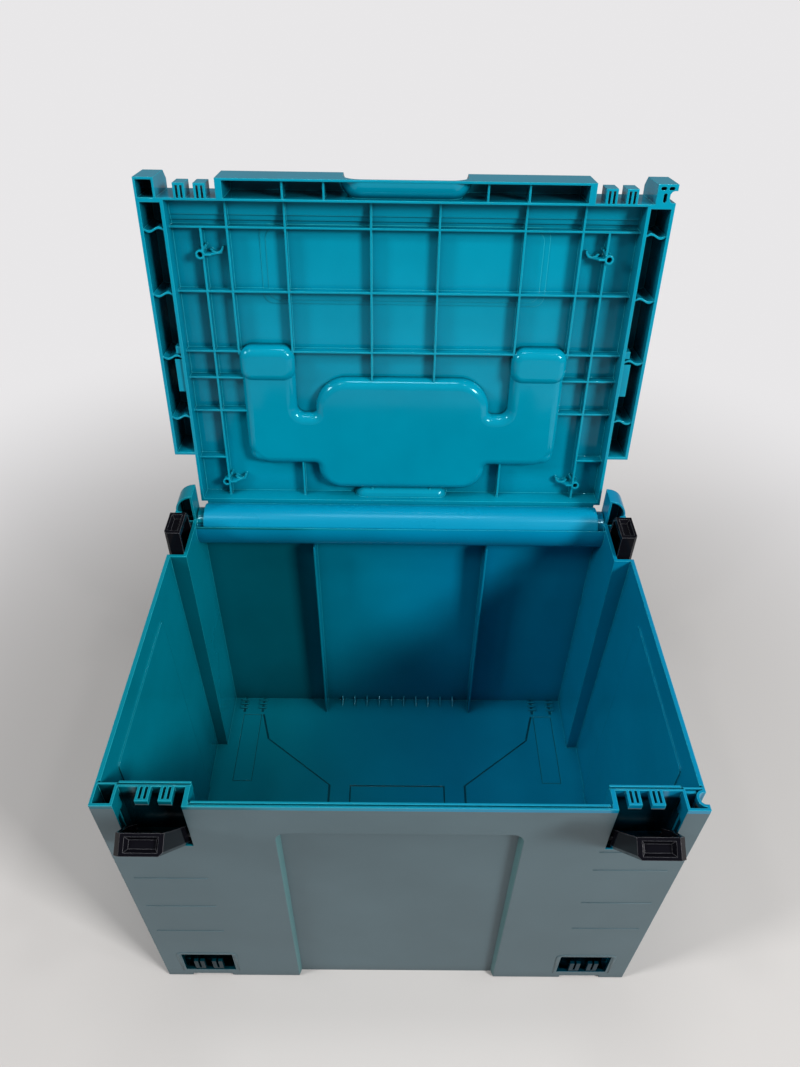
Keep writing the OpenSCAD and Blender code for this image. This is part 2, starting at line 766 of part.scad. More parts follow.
// Skin of the handle well as it stands out under the panel
module well_skin() {
  w = lid_wall + 2;
  z0 = well_z - lid_panel_t;
  hump_r = barrel_r + handle_gap + lid_panel_t;
  translate([0, (well_y0 + well_y1) / 2, 0])
    drafted_bulge(2 * (well_x + w), well_y1 - well_y0 + 2 * w, well_r + w, z0);
  translate([0, finger_y, 0]) drafted_bulge(finger_w, finger_d, 26, z0);
  intersection() {
    translate([0, rear_wall_y, 0]) drafted_bulge(rear_bump_w, 2 * rear_bump_d, rear_bump_d, panel_z - 11);
    span([-half_w, 0, 0], [half_w, rear_wall_y + eps, top_z]);
  }
  both_sides() translate([-well_x + well_arm / 2, (handle_pivot + well_y1) / 2, 0])
    drafted_bulge(well_arm + 2 * w, well_y1 - handle_pivot + 2 * w, 9, z0);
  both_sides() intersection() {
    translate([-well_x - w + hump_r, handle_pivot, handle_z]) {
      rotate([0, 90, 0]) cylinder(r = hump_r, h = well_arm + 2 * (w - hump_r));
      for (x = [0, well_arm + 2 * (w - hump_r)]) translate([x, 0, 0]) sphere(r = hump_r - 0.05);
    }
    span([-half_w, 0, 0], [0, case_d, tray_z - eps]);
  }
}

// Room for the handle and for the fingers round its grip
module well_hollow() {
  h = top_z - well_z + 1;
  translate([0, (well_y0 + well_y1) / 2, well_z]) linear_extrude(h)
    round_rect(2 * well_x, well_y1 - well_y0, well_r);
  translate([0, finger_y, well_z]) linear_extrude(h) round_rect(finger_w - 10, finger_d - 10, 17);
  both_sides() {
    span([-well_x, handle_pivot, well_z], [-well_x + well_arm, grip_y, top_z + 1]);
    translate([-well_x, handle_pivot, handle_z]) rotate([0, 90, 0])
      cylinder(r = barrel_r + handle_gap, h = well_arm);
    span([-well_x, handle_pivot - barrel_r - handle_gap, handle_z],
      [-well_x + well_arm, handle_pivot + barrel_r, top_z + 1]);
  }
}

// Hinge roll with flat end plates, the bosses of its pins and the strip that joins it to the rear wall
module hinge_roll() {
  start = 138;
  along_x(-roll_len / 2, roll_len / 2) translate([hinge_y, hinge_z]) intersection() {
    difference() {
      circle(r = roll_r, $fn = 96);
      circle(r = roll_r - roll_t, $fn = 96);
    }
    polygon([[0, 0], 60 * [cos(start), sin(start)], [-60, -60], [hinge_back, -60], [hinge_back, 0]]);
  }
  span([-roll_len / 2, rear_wall_y, lid_z], [roll_len / 2, hinge_y - (roll_r - roll_t) * 0.75, lid_z + 2]);
  both_sides() {
    along_x(-roll_len / 2, -roll_len / 2 + lid_wall) translate([hinge_y, hinge_z]) intersection() {
      circle(r = roll_r, $fn = 96);
      translate([-60, -60]) square([60 + hinge_back, 60 + lid_z - hinge_z + 5]);
    }
    translate([-roll_len / 2, hinge_y, hinge_z]) rotate([0, 90, 0])
      cylinder(d = hinge_pin_d + 5, h = lid_wall + 6);
  }
  span([-roll_len / 2, case_d - roll_t, hinge_z - 14.4], [roll_len / 2, case_d, lid_z + 1]);
}

// Finger recess in the front of the lid, with round ends, and the bulge that it makes inside
module lift_recess(grow) {
  x = lift_w / 2 - lift_r;
  r = lift_r + grow;
  z = lid_z + lift_r + lid_wall + 0.2;
  along_x(-x, x) translate([0, z]) {
    circle(r = r);
    translate([-r, 0]) square([2 * r, top_z - z + 1]);
  }
  both_sides() translate([-x, 0, z]) rotate([0, 0, 90]) rotate_extrude(angle = 180) intersection() {
    union() {
      circle(r = r);
      square([r, top_z - z + 1]);
    }
    translate([0, -r]) square([r, r + top_z]);
  }
}

module lid_shell() {
  color([0.0, 0.5, 0.57]) place() opened() difference() {
    union() {
      difference() {
        translate([0, 0, lid_z]) linear_extrude(top_z - lid_z) lid_plan();
        lid_hollows();
      }
      both_sides() {
        for (y = [rib_y1, rib_y2, rib_y3 + 2, notch_y * 0.84]) rail_partition(y);
        span([-lid_inner_x - 6, rib_y3 + 5, lid_z + 2], [-lid_inner_x + eps, rib_y3 + 33, top_z - 1]);
        span([-lid_inner_x - 4, rib_y3 - 6, lid_z + 2], [-lid_inner_x + eps, rib_y3, top_z - 1]);
      }
      both_sides() hook_posts(lid_z, lid_z + post_h);
      lid_ribs();
      well_skin();
      hinge_roll();
      intersection() {
        lift_recess(lid_wall);
        span([-lift_w, 0, lid_z], [lift_w, front_rail + lid_wall, top_z - lid_bevel]);
      }
    }
    well_hollow();
    lift_recess(0);
    front_bevel(lid_bevel);
    padlock_eye();
    translate([-roll_len / 2 - 1, hinge_y, hinge_z]) rotate([0, 90, 0])
      cylinder(r = hinge_pin_d / 2 + pin_clear, h = roll_len + 2);
    both_sides() translate([-well_x - 4, handle_pivot, handle_z]) rotate([0, 90, 0])
      cylinder(d = handle_pin_d, h = well_arm + 8);
  }
}

// Eyes and slot in the right front corner of the lid, where a padlock passes
module padlock_eye() {
  padlock_notch(lid_z - 1, lid_z + padlock_h);
  for (x = [4.6, 10.6]) translate([half_w - x, 2.9, lid_z - 1]) linear_extrude(padlock_h)
    round_rect(4.2, 2.4, 1.15);
  translate([half_w - padlock_d - 3.4, 9.4, lid_z - 1]) linear_extrude(lid_h + 2) round_rect(2.6, 6.4, 1.2);
}

// Turns the closed lid to its open stop
module opened() {
  translate([0, hinge_y, hinge_z]) rotate([-lid_open, 0, 0]) translate([0, -hinge_y, -hinge_z]) children();
}

// ---- Handle ----

module carry_handle() {
  z0 = handle_bottom;
  z1 = handle_bottom + grip_t;
  r = 6;
  color([0.05, 0.05, 0.06]) place() opened() difference() {
    union() {
      translate([0, grip_y, z0]) linear_extrude(grip_t) round_rect(handle_w, grip_w, well_r - handle_gap);
      both_sides() {
        span([-handle_w / 2, handle_pivot, z0], [-handle_w / 2 + handle_arm_w, grip_y, z1]);
        translate([-handle_w / 2, handle_pivot, handle_z]) rotate([0, 90, 0])
          cylinder(r = barrel_r, h = handle_arm_w);
      }
    }
    both_sides() {
      translate([-handle_w / 2 - 1, handle_pivot, handle_z]) rotate([0, 90, 0])
        cylinder(r = handle_pin_d / 2 + pin_clear, h = handle_arm_w + 2);
      span([-handle_w / 2 + 6, handle_pivot + 16, z0 + 4], [-handle_w / 2 + handle_arm_w - 6, grip_y - 8, z1 + 1]);
    }
  }
}

module handle_pin(side) {
  color([0.6, 0.6, 0.62]) place() opened() scale([side, 1, 1])
    translate([well_x - well_arm - 3.5, handle_pivot, handle_z]) rotate([0, 90, 0])
      cylinder(d = handle_pin_d, h = well_arm + 7);
}

module handle_pin_left() { handle_pin(-1); }
module handle_pin_right() { handle_pin(1); }

// ---- Hinge pins ----

module hinge_pin(side) {
  color([0.6, 0.6, 0.62]) place() scale([side, 1, 1]) translate([0, hinge_y, hinge_z]) rotate([0, 90, 0]) {
    translate([0, 0, roll_len / 2 - lid_wall - 7])
      cylinder(d = hinge_pin_d, h = side_wall_x - roll_len / 2 + lid_wall + 7);
    translate([0, 0, side_wall_x]) cylinder(d = hinge_pin_d + 3, h = 1.5);
  }
}

module hinge_pin_left() { hinge_pin(-1); }
module hinge_pin_right() { hinge_pin(1); }

// ---- Latches ----

// Face-on outline of a latch round its pivot: one straight side and one that tapers to the tip
module latch_outline(inset, top) {
  r = latch_root_w / 2 - inset;
  tip = latch_root_w / 2 - latch_tip_w + inset;
  hook = latch_root_w / 2 - latch_tip_w - 4.4 + inset;
  polygon([[-r, -latch_t / 2 - 1], [r, -latch_t / 2 - 1], [r, top], [tip, top],
    [max(hook, -r), latch_len - latch_block - 0.5], [-r, 20]]);
}

// Side view of the shell: a round root at the pivot that clears the sill, and a straight back
module latch_side() {
  circle(r = root_r);
  translate([-latch_t / 2, skin_start]) square([latch_t, latch_len - skin_start]);
}

// Latch at its pivot, with its outer face towards -Y and its straight side towards +X
module latch() {
  t = latch_t;
  difference() {
    intersection() {
      along_x(-latch_root_w, latch_root_w) latch_side();
      along_y(-t, t) latch_outline(0, latch_len);
    }
    intersection() {
      along_y(-t / 2 + latch_wall, t) latch_outline(latch_wall, latch_len - latch_block);
      span([-50, -t, -t], [50, t, latch_len - latch_block]);
    }
    span([-latch_root_w / 2 + latch_wall, -t, -t], [latch_root_w / 2 - latch_wall, t, skin_start]);
    translate([-50, 0, 0]) rotate([0, 90, 0]) cylinder(r = latch_pin_d / 2 + pin_clear, h = 100);
    finger_dish();
    translate([latch_root_w / 2, -t / 2, -10]) rotate([0, 0, 45]) cube([3.6, 3.6, 200], center = true);
  }
}

// Dished recess with sloping sides in the end face of the tip
module finger_dish() {
  x1 = latch_root_w / 2 - 3;
  x0 = latch_root_w / 2 - latch_tip_w + 2.4;
  y = latch_t / 2 - 1.8;
  hull() {
    span([x0, -y, latch_len + 0.5], [x1, y, latch_len + 1]);
    span([x0 + 2.2, -y + 2.2, latch_len - 3.4], [x1 - 2.2, y - 2.2, latch_len]);
  }
}

module front_latch(side) {
  color([0.03, 0.03, 0.035]) place() scale([side, 1, 1]) translate([pocket_x, pivot_in, pivot_z])
    rotate([latch_open, 0, 0]) scale([-1, 1, 1]) latch();
}

module side_latch(side) {
  color([0.03, 0.03, 0.035]) place() scale([side, 1, 1])
    translate([half_w - pivot_in, side_pocket_y, pivot_z]) rotate([0, 0, 90]) scale([-1, 1, 1]) latch();
}

module latch_front_left() { front_latch(-1); }
module latch_front_right() { front_latch(1); }
module latch_side_left() { side_latch(-1); }
module latch_side_right() { side_latch(1); }

// ---- Latch pins ----

module latch_pin() {
  l = pocket_w + 2 * slot_depth - 0.4;
  translate([-l / 2, 0, 0]) rotate([0, 90, 0]) cylinder(d = latch_pin_d, h = l);
}

module front_latch_pin(side) {
  color([0.6, 0.6, 0.62]) place() translate([side * pocket_x, pivot_in, pivot_z]) latch_pin();
}

module side_latch_pin(side) {
  color([0.6, 0.6, 0.62]) place()
    translate([side * (half_w - pivot_in), side_pocket_y, pivot_z]) rotate([0, 0, 90]) latch_pin();
}

module latch_pin_front_left() { front_latch_pin(-1); }
module latch_pin_front_right() { front_latch_pin(1); }
module latch_pin_side_left() { side_latch_pin(-1); }
module latch_pin_side_right() { side_latch_pin(1); }

body_shell();
lid_shell();
carry_handle();
handle_pin_left();
handle_pin_right();
hinge_pin_left();
hinge_pin_right();
latch_front_left();
latch_front_right();
latch_side_left();
latch_side_right();
latch_pin_front_left();
latch_pin_front_right();
latch_pin_side_left();
latch_pin_side_right();
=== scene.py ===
import bpy
import bmesh
from math import radians, pi, sin, cos
from mathutils import Matrix, Vector


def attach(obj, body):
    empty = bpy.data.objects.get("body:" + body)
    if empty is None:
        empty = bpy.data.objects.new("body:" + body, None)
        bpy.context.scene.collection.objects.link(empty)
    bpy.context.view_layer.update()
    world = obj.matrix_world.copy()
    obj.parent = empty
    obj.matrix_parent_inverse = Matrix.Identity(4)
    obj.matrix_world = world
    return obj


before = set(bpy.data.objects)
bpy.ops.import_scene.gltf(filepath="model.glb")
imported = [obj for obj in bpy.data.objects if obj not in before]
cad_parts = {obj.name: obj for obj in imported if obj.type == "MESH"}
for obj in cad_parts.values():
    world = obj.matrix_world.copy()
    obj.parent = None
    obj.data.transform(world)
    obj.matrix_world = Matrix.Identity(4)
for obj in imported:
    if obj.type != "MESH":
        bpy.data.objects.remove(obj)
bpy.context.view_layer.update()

# Camera.
# A hand-held view from above the open front of the case, tipped well down so that the
# floor of the box and the inside of the lid show together.
view_data = bpy.data.cameras.new("case_camera")
view = bpy.data.objects.new("case_camera", view_data)
bpy.context.collection.objects.link(view)
view_data.sensor_fit = "VERTICAL"
view_data.sensor_height = 36.0
view_data.lens = 27.517
view_data.clip_start = 0.02
view_data.clip_end = 30.0
eye = (-0.0063, -0.4198, 0.7514)
tip_down = radians(41.515)
turn_right = radians(0.588)
level_roll = radians(1.013)
view.matrix_world = (
    Matrix.Translation(eye)
    @ Matrix.Rotation(-turn_right, 4, "Z")
    @ Matrix.Rotation(pi / 2 - tip_down, 4, "X")
    @ Matrix.Rotation(level_roll, 4, "Z")
)
bpy.context.scene.camera = view

# Box shell.
# One deep polypropylene moulding. Its tool is polished where it forms the inside and finely
# eroded where it forms the outer skin, so the inside shines and the outside looks hazy; the
# outer skin's darker grey colour is painted shade and a painted grey sheen.
shell_inside = (0.0, 0.20, 0.27, 1)
shell_inside_right_light_cast = (0.0, 0.20, 0.355, 1)
shell_inside_shaded = (0.0, 0.105, 0.14, 1)
shell_trough_light_cast = (0.0, 0.195, 0.36, 1)
shell_floor_line_shade = (0.0, 0.030, 0.045, 1)
shell_recess_shade = (0.0, 0.010, 0.016, 1)
shell_outside_shade_and_sheen = (0.076, 0.122, 0.140, 1)
shell_panel_step_lit = (0.068, 0.180, 0.188, 1)
shell_edge_highlight = (0.03, 0.46, 0.55, 1)
inside_gloss = (0.5, 0.88, 1.0, 1)
outside_gloss = (0.85, 0.93, 1.0, 1)

side_skin_x = 0.1905
front_skin_y, skin_back_y, rear_skin_y = -0.1395, -0.1464, 0.1445
panel_side_x = 0.1
rim_foot_z, front_ledge_z, rim_z = 0.2742, 0.235, 0.262
recess_y = (-0.14635, -0.1335)
pocket_x, pocket_foot_z = (0.1384, 0.1838), 0.2265
pocket_shadow_z, teeth_y, teeth_rise, pocket_fade = 0.2620, -0.1362, 0.0105, 0.003
notch_x, notch_top_z = (0.1355, 0.1785), 0.0446
trough_x, trough_front_y, trough_z = 0.181, 0.112, (0.2450, 0.2745)
floor_line_x, floor_line_y, floor_line_z = 0.186, 0.143, (0.0010, 0.0026)
shaded_top_z, shaded_x = 0.2765, (-0.075, -0.10)
blue_x = (-0.13, 0.06)


def add_node(tree, kind, **settings):
    """Adds a node; settings that start with in_ fill its sockets, the others its properties."""
    node = tree.nodes.new(kind)
    for name, value in settings.items():
        if name.startswith("in_"):
            socket = name[3:].replace("_", " ")
            node.inputs[int(socket) if socket.isdigit() else socket].default_value = value
        else:
            setattr(node, name, value)
    return node


def combine(tree, operation, first, second):
    """Works out one sum of two values, each a number or the output of a node."""
    node = add_node(tree, "ShaderNodeMath", operation=operation)
    for place, part in enumerate((first, second)):
        if isinstance(part, (int, float)):
            node.inputs[place].default_value = part
        else:
            tree.links.new(part, node.inputs[place])
    return node.outputs[0]


def above(tree, value, limit):
    return combine(tree, "GREATER_THAN", value, limit)


def below(tree, value, limit):
    return combine(tree, "LESS_THAN", value, limit)


def all_of(tree, first, *others):
    """Product of masks: 1 only where every mask is 1."""
    for mask in others:
        first = combine(tree, "MULTIPLY", first, mask)
    return first


def any_of(tree, first, *others):
    """Highest of masks: 1 where any mask is 1."""
    for mask in others:
        first = combine(tree, "MAXIMUM", first, mask)
    return first


def between(tree, value, limits):
    return all_of(tree, above(tree, value, limits[0]), below(tree, value, limits[1]))


def opposite(tree, mask):
    return combine(tree, "SUBTRACT", 1.0, mask)


def ramp(tree, value, start, end, low=0.0, high=1.0):
    """Runs from low to high while the value runs from start to end."""
    spread = add_node(tree, "ShaderNodeMapRange", clamp=True)
    for socket, number in (("From Min", start), ("From Max", end), ("To Min", low), ("To Max", high)):
        spread.inputs[socket].default_value = number
    tree.links.new(value, spread.inputs["Value"])
    return spread.outputs[0]


def blend_colour(tree, share, first, second):
    node = add_node(tree, "ShaderNodeMix", data_type="RGBA")
    tree.links.new(share, node.inputs[0])
    for place, part in ((6, first), (7, second)):
        if isinstance(part, tuple):
            node.inputs[place].default_value = part
        else:
            tree.links.new(part, node.inputs[place])
    return node.outputs[2]


def tint(tree, body, colour, mask, share):
    """Lays a share of a colour over the body colour where the mask is 1."""
    return blend_colour(tree, combine(tree, "MULTIPLY", mask, share), body, colour)


def split(tree, vector):
    parts = add_node(tree, "ShaderNodeSeparateXYZ")
    tree.links.new(vector, parts.inputs[0])
    return parts.outputs


def soft_edges(tree, radius):
    """Normal with the sharp corners of a moulding rounded off."""
    return add_node(tree, "ShaderNodeBevel", samples=6, in_Radius=radius).outputs[0]


def edge_share(tree, rounded):
    """Finds the sharp corners: the rounded normal differs from the flat one there."""
    flat = add_node(tree, "ShaderNodeNewGeometry").outputs["Normal"]
    agree = add_node(tree, "ShaderNodeVectorMath", operation="DOT_PRODUCT")
    tree.links.new(rounded, agree.inputs[0])
    tree.links.new(flat, agree.inputs[1])
    return ramp(tree, agree.outputs["Value"], start=0.995, end=0.80)


def shade_depths(tree, body, darkest):
    """Painted shade: darkens narrow cells and corners, where little light gets in."""
    openness = add_node(tree, "ShaderNodeAmbientOcclusion", samples=4, in_Distance=0.032)
    dim = add_node(tree, "ShaderNodeHueSaturation")
    if isinstance(darkest, float):
        dim.inputs["Value"].default_value = darkest
    else:
        tree.links.new(darkest, dim.inputs["Value"])
    tree.links.new(body, dim.inputs["Color"])
    open_share = ramp(tree, openness.outputs["AO"], start=0.15, end=0.55)
    return blend_colour(tree, open_share, dim.outputs[0], body)


def smudges(tree, place, size, low, high):
    """Slow uneven patches between two values."""
    patch = add_node(tree, "ShaderNodeTexNoise", in_Scale=size, in_Detail=3.0, in_Roughness=0.6)
    tree.links.new(place, patch.inputs["Vector"])
    return ramp(tree, patch.outputs["Fac"], start=0.35, end=0.65, low=low, high=high)


def raise_relief(tree, height, normal, distance, strength=1.0):
    relief = add_node(tree, "ShaderNodeBump", in_Distance=distance, in_Strength=strength)
    tree.links.new(height, relief.inputs["Height"])
    tree.links.new(normal, relief.inputs["Normal"])
    return relief.outputs[0]


def noise(tree, place, size, detail):
    texture = add_node(tree, "ShaderNodeTexNoise", in_Scale=size, in_Detail=detail)
    tree.links.new(place, texture.inputs["Vector"])
    return texture.outputs["Fac"]


def new_finish(name):
    """Starts a material and returns it with its tree, its shader and its place on the object."""
    finish = bpy.data.materials.new(name)
    finish.use_nodes = True
    tree = finish.node_tree
    where = add_node(tree, "ShaderNodeTexCoord").outputs["Object"]
    return finish, tree, tree.nodes["Principled BSDF"], where


def dress(node_name, material):
    """Gives every slot of a CAD node one finish."""
    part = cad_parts[node_name]
    for place in range(max(1, len(part.material_slots))):
        if not part.material_slots:
            part.data.materials.append(material)
        part.material_slots[place].link = "OBJECT"
        part.material_slots[place].material = material


def moulded_shell():
    finish, tree, bsdf, where = new_finish("box_polypropylene")
    x, deep, high = split(tree, where)
    wide = combine(tree, "ABSOLUTE", x, 0)
    rounded = soft_edges(tree, radius=0.0007)
    facing = split(tree, add_node(tree, "ShaderNodeNewGeometry").outputs["Normal"])
    facing_out = combine(tree, "MULTIPLY", combine(tree, "SIGN", x, 0), facing[0])

    # the outer skin: side faces, the front with the step of its panel, and the rear
    on_side = all_of(tree, above(tree, facing_out, 0.5), above(tree, wide, side_skin_x))
    on_front = all_of(
        tree,
        below(tree, deep, front_skin_y),
        any_of(tree, below(tree, facing[2], 0.5), below(tree, high, front_ledge_z)),
        any_of(
            tree,
            below(tree, facing[1], -0.08),
            below(tree, wide, panel_side_x),
            all_of(tree, below(tree, deep, skin_back_y), below(tree, high, pocket_foot_z)),
        ),
    )
    on_rear = all_of(tree, above(tree, facing[1], 0.5), above(tree, deep, rear_skin_y))

    # painted shade: the latch pockets and foot notches of the front are painted near black, with less gloss,
    # where shade falls in them
    in_recess = between(tree, deep, recess_y)
    past_teeth = combine(tree, "MULTIPLY", above(tree, deep, teeth_y), teeth_rise)
    shadow_top = combine(tree, "ADD", pocket_shadow_z, past_teeth)
    in_shadow = ramp(tree, combine(tree, "SUBTRACT", shadow_top, high), start=0.0, end=pocket_fade)
    in_pocket = all_of(
        tree, between(tree, wide, pocket_x), above(tree, high, pocket_foot_z), in_shadow, in_recess
    )
    in_notch = all_of(tree, between(tree, wide, notch_x), below(tree, high, notch_top_z), in_recess)
    recess_shade = any_of(tree, in_pocket, in_notch)
    outside = all_of(
        tree, any_of(tree, on_side, on_front, on_rear), below(tree, high, rim_foot_z), opposite(tree, recess_shade)
    )

    # the inside, with a painted colour cast of the light that makes it bluer to the right, and painted shade
    # that dims the walls facing the front at the left
    inner = blend_colour(tree, ramp(tree, x, *blue_x), shell_inside, shell_inside_right_light_cast)
    shaded = all_of(
        tree, below(tree, facing[1], -0.8), below(tree, high, shaded_top_z), ramp(tree, x, *shaded_x)
    )
    inner = blend_colour(tree, shaded, inner, shell_inside_shaded)
    # painted light: a bluer colour cast of the light is painted in the hinge trough
    in_trough = all_of(
        tree, between(tree, high, trough_z), above(tree, deep, trough_front_y), below(tree, wide, trough_x)
    )
    inner = tint(tree, inner, shell_trough_light_cast, in_trough, share=0.7)
    # painted shade darkens the sunk lines of the floor
    in_line = all_of(
        tree, between(tree, high, floor_line_z), below(tree, wide, floor_line_x),
        below(tree, combine(tree, "ABSOLUTE", deep, 0), floor_line_y),
    )
    inner = tint(tree, inner, shell_floor_line_shade, in_line, share=0.75)

    # painted shade and painted sheen: the outer skin gets its darker grey colour here
    body = blend_colour(tree, outside, inner, shell_outside_shade_and_sheen)
    # painted light: faces of the panel step that turn aside from the front are painted a lighter teal, where
    # they catch the light
    step_in_light = all_of(
        tree, outside, above(tree, facing[1], -0.7), below(tree, deep, 0.0), below(tree, wide, panel_side_x)
    )
    body = tint(tree, body, shell_panel_step_lit, step_in_light, share=0.8)
    # painted shade in the latch pockets and foot notches
    body = tint(tree, body, shell_recess_shade, recess_shade, share=0.93)
    body = shade_depths(tree, body, darkest=0.35)
    darker = add_node(tree, "ShaderNodeHueSaturation", in_Value=0.88)
    tree.links.new(body, darker.inputs["Color"])
    cloud = smudges(tree, where, size=9.0, low=0.0, high=1.0)
    patchy = blend_colour(tree, cloud, body, darker.outputs[0])

    # painted highlight: corners are painted a bright teal where they catch the light, most of all along the
    # rim, hardly on the eroded skin and not in the painted shade of the recesses
    at_rim = combine(tree, "ADD", 0.45, combine(tree, "MULTIPLY", above(tree, high, rim_z), 0.4))
    dull = any_of(tree, recess_shade, combine(tree, "MULTIPLY", outside, 0.85))
    lit_edge = all_of(tree, edge_share(tree, rounded), at_rim, opposite(tree, dull))
    tree.links.new(blend_colour(tree, lit_edge, patchy, shell_edge_highlight), bsdf.inputs["Base Color"])

    eroded = combine(tree, "MULTIPLY", outside, 0.52)
    rough = any_of(tree, smudges(tree, where, size=14.0, low=0.13, high=0.22), eroded)
    tree.links.new(rough, bsdf.inputs["Roughness"])
    bsdf.inputs["IOR"].default_value = 1.48
    tree.links.new(blend_colour(tree, outside, inside_gloss, outside_gloss), bsdf.inputs["Specular Tint"])
    gloss = combine(tree, "SUBTRACT", 0.5, combine(tree, "MULTIPLY", recess_shade, 0.42))
    tree.links.new(gloss, bsdf.inputs["Specular IOR Level"])

    grain = combine(tree, "MULTIPLY", outside, noise(tree, where, size=1800.0, detail=2.0))
    relief = raise_relief(tree, grain, rounded, distance=0.00005)
    wave = noise(tree, where, size=9.0, detail=0.0)
    swell = raise_relief(tree, wave, relief, distance=0.0006, strength=0.2)
    tree.links.new(swell, bsdf.inputs["Normal"])
    return finish


shell_finish = moulded_shell()
dress("body_shell", shell_finish)

# Marks of the mould.
# Slim beads left proud of the front skin where inserts of the mould meet: short lines at both
# ends of the front and a rounded lip round each foot notch, all part of the box moulding.
box_front_y, front_lean, rim_top_z = -0.148, 0.0014, 0.278
sunk_in, bead_facets, end_taper = 0.0001, 6, 0.35
left_levels, right_levels = (0.1796, 0.1348, 0.0908), (0.2225, 0.1967, 0.1453, 0.1002)
line_x, line_tip = (0.136, 0.189), 0.0005
line_width, line_height = 0.0012, 0.0005
lip_x, lip_foot_z, lip_corner_z, lip_corner = (0.1335, 0.1805), 0.0105, 0.0425, 0.004
lip_width, lip_height = 0.0034, 0.0006


def front_skin(z):
    """Depth of the leaning front skin at a height."""
    return box_front_y + front_lean * (rim_top_z - z) / rim_top_z


def new_piece(name, mesh, finish):
    """Puts a mesh in the scene as a piece with one finish."""
    piece = bpy.data.objects.new(name, mesh)
    bpy.context.collection.objects.link(piece)
    mesh.materials.append(finish)
    return piece


def join_rings(block, rings):
    """Joins rings of points into one closed skin, with a face over each end."""
    for first, second in zip(rings, rings[1:]):
        for k in range(len(first)):
            after = (k + 1) % len(first)
            block.faces.new((first[k], first[after], second[after], second[k]))
    block.faces.new(rings[0])
    block.faces.new(rings[-1][::-1])


def close_block(block, name):
    """Turns a bmesh with its faces outwards into a mesh."""
    bmesh.ops.recalc_face_normals(block, faces=block.faces)
    mesh = bpy.data.meshes.new(name)
    block.to_mesh(mesh)
    block.free()
    return mesh


def bead(block, path, width, height):
    """Half-round bead along a path of (x, z) points on the leaning front skin."""
    rings = []
    for place, (x, z) in enumerate(path):
        before, after = path[max(place - 1, 0)], path[min(place + 1, len(path) - 1)]
        along = Vector((after[0] - before[0], after[1] - before[1])).normalized()
        taper = end_taper if place in (0, len(path) - 1) else 1.0
        ring = []
        for k in range(bead_facets + 1):
            turn = k / bead_facets * pi
            reach = cos(turn) * width / 2 * taper
            proud = (sin(turn) * height + sunk_in) * taper
            y = front_skin(z) + sunk_in - proud
            ring.append(block.verts.new((x - along.y * reach, y, z + along.x * reach)))
        rings.append(ring)
    join_rings(block, rings)


def bead_piece(name, paths, width, height):
    block = bmesh.new()
    for path in paths:
        bead(block, path, width, height)
    mesh = close_block(block, name)
    for face in mesh.polygons:
        face.use_smooth = True
    piece = new_piece(name, mesh, shell_finish)
    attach(piece, "box")


near_x, far_x = line_x
lines = [[(-far_x, z), (line_tip - far_x, z), (-near_x - line_tip, z), (-near_x, z)] for z in left_levels]
lines += [[(near_x, z), (near_x + line_tip, z), (far_x - line_tip, z), (far_x, z)] for z in right_levels]
bead_piece("front_mould_lines", lines, line_width, line_height)
quarter = [k * pi / 12 for k in range(7)]
lip = [(lip_x[0], lip_foot_z)]
lip += [(lip_x[0] + lip_corner * (1 - cos(a)), lip_corner_z + lip_corner * sin(a)) for a in quarter]
lip += [(lip_x[1] - lip_corner * (1 - sin(a)), lip_corner_z + lip_corner * cos(a)) for a in quarter]
lip += [(lip_x[1], lip_foot_z)]
for side, name in ((-1, "notch_lip_left"), (1, "notch_lip_right")):
    bead_piece(name, [[(side * x, z) for x, z in lip]], lip_width, lip_height)

# Front panel edge.
# The mould slopes from the front skin down to the sunk panel, part of the box moulding too; the
# slope runs up both sides of the panel and round its upper corners.
panel_x, panel_foot_z, panel_corner_z, panel_corner = 0.083, 0.0016, 0.236, 0.009
slope_start, slope_middle, slope_end, slope_back = 0.0002, 0.0026, 0.0064, 0.0067
slope_width, slope_more_at_side, middle_share = 0.0008, 0.0013, 0.45

corner_x = panel_x - panel_corner
edge_path = [(-panel_x, panel_foot_z, -1.0, 0.0)]
for degrees in range(0, 91, 10):
    across, up = -cos(radians(degrees)), sin(radians(degrees))
    edge_path.append((-corner_x + panel_corner * across, panel_corner_z + panel_corner * up, across, up))
edge_path += [(-x, z, -across, up) for x, z, across, up in reversed(edge_path)]
slope = bmesh.new()
slope_rings = []
for x, z, across, up in edge_path:
    width = slope_width + slope_more_at_side * abs(across)
    profile = (
        (-sunk_in, slope_start), (middle_share * width, slope_middle), (width, slope_end),
        (width, slope_back), (-sunk_in, slope_back),
    )
    slope_rings.append([
        slope.verts.new((x - inward * across, front_skin(z) + depth, z - inward * up))
        for inward, depth in profile
    ])
join_rings(slope, slope_rings)
panel_slope = new_piece("front_panel_slope", close_block(slope, "front_panel_slope"), shell_finish)
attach(panel_slope, "box")

# Lid shell.
# The second large polypropylene moulding, one piece with its ribs, handle well, side rails and
# hinge roll, and polished like the inside of the box. It turns on the two hinge pins.
lid_colour = (0.0, 0.255, 0.375, 1)
lid_patch = (0.0, 0.225, 0.335, 1)
lid_roll_light_cast = (0.0, 0.225, 0.41, 1)
hinge_y, hinge_z, roll_radius = 0.140, 0.268, 0.0168
rail_x = 0.1803


